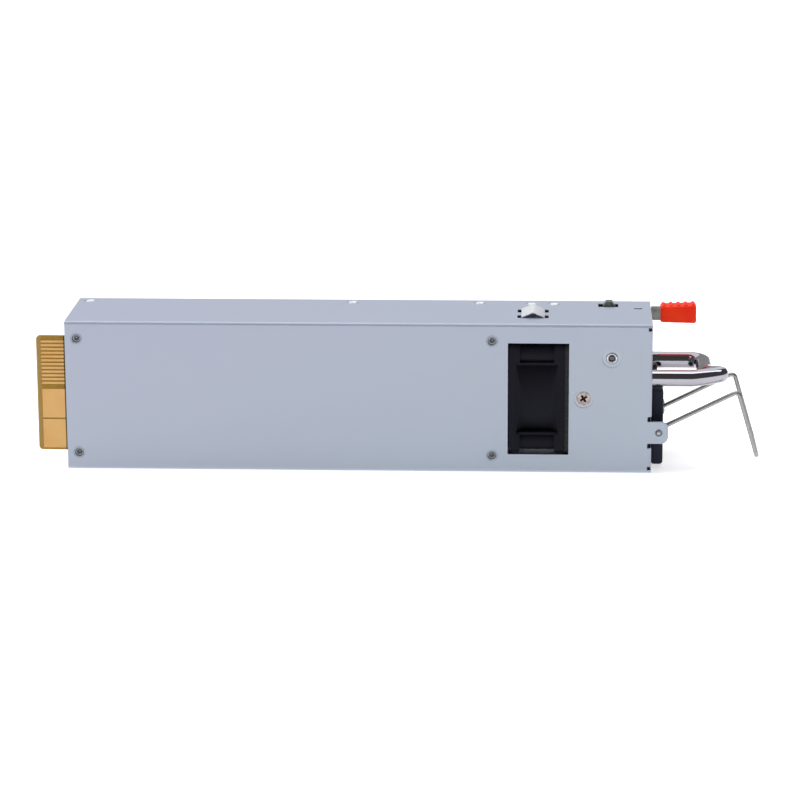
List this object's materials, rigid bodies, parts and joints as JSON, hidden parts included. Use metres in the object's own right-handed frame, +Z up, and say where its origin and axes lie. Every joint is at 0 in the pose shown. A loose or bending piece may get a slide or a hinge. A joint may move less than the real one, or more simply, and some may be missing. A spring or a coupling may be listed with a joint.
{
  "type": "server power supply",
  "caption": "Slim hot swap server power supply: zinc-plated steel case, gold-finger board edge, side-window fan, mains inlet, chrome pull handle, cord bail and orange release latch.",
  "frame": {"origin": "middle of the bottom narrow wall's outer face, on which the unit stands", "axes": "+X along the casing towards the handle and mains inlet, -Y out of the tray's large wall with the fan window, +Z up across the two narrow walls"},
  "size_m": [0.26, 0.0406, 0.0565],
  "materials": {
    "zinc_steel": "matte zinc-plated sheet",
    "bright_steel": "bright plated",
    "tin_plate": "tin-plated spring",
    "stud_steel": "dull plated",
    "spring_wire": "drawn wire",
    "latch_steel": "dull stainless",
    "chrome": "polished",
    "brass_zinc": "yellow zinc",
    "circuit_board": "solder mask over glass laminate",
    "gold": "gold plated",
    "copper": "tinned copper",
    "black_plastic": "moulded",
    "orange_plastic": "moulded",
    "insulation": "film",
    "black_foam": "foam",
    "ferrite": "sintered",
    "winding": "taped winding",
    "capacitor_sleeve": "shrink sleeve",
    "film_capacitor": "potted box",
    "aluminium": "extruded",
    "ceramic": "ceramic tube",
    "lamp_lens": "smoked lens"
  },
  "bodies": {
    "casing": {"case_tray": "zinc_steel", "case_cover": "zinc_steel", "cover_screws": "bright_steel", "intake_panel": "zinc_steel", "main_board": "circuit_board", "gold_fingers": "gold", "insulation_sheet": "insulation", "board_standoffs": "zinc_steel", "board_screws": "bright_steel", "bulk_capacitor": "capacitor_sleeve", "pfc_choke": "winding", "emi_choke": "winding", "line_filter_capacitor": "film_capacitor", "mains_fuse": "ceramic", "transformer_core": "ferrite", "transformer_winding": "winding", "primary_heatsink": "aluminium", "secondary_heatsink": "aluminium", "output_capacitors": "capacitor_sleeve", "output_bus_bars": "copper", "control_board": "circuit_board", "fan_frame": "black_plastic", "fan_stator": "copper", "fan_gasket": "black_foam", "fan_bracket": "zinc_steel", "fan_screws": "bright_steel", "bracket_screw": "brass_zinc", "mains_inlet": "black_plastic", "inlet_pins": "bright_steel", "pull_handle": "chrome", "handle_screws": "bright_steel", "status_lamp": "lamp_lens", "earth_stud": "stud_steel", "earth_nut": "stud_steel", "latch_bracket": "zinc_steel", "latch_rivets": "bright_steel", "latch_pin": "bright_steel", "grounding_clip": "tin_plate"},
    "fan_wheel": {"fan_rotor": "black_plastic", "fan_shaft": "bright_steel"},
    "release_latch": {"latch_lever": "latch_steel", "latch_spring": "spring_wire", "release_grip": "orange_plastic"},
    "retainer_bail": {"wire_bail": "spring_wire"}
  },
  "joints": [
    {"name": "fan_spin", "type": "hinge", "parent": "casing", "child": "fan_wheel", "pos_m": [0.064, 0, 0.0271], "axis": [1, 0, 0], "continuous": true},
    {"name": "latch_press", "type": "hinge", "parent": "casing", "child": "release_latch", "pos_m": [0.0658, 0.0115, 0.0499], "axis": [0, 1, 0], "range_deg": [0, 5.2], "stiffness_Nm_per_rad": 2, "springref_deg": -5.73},
    {"name": "bail_swing", "type": "hinge", "parent": "casing", "child": "retainer_bail", "pos_m": [0.1076, 0, 0.015], "axis": [0, 1, 0], "range_deg": [-8, 110]}
  ]
}
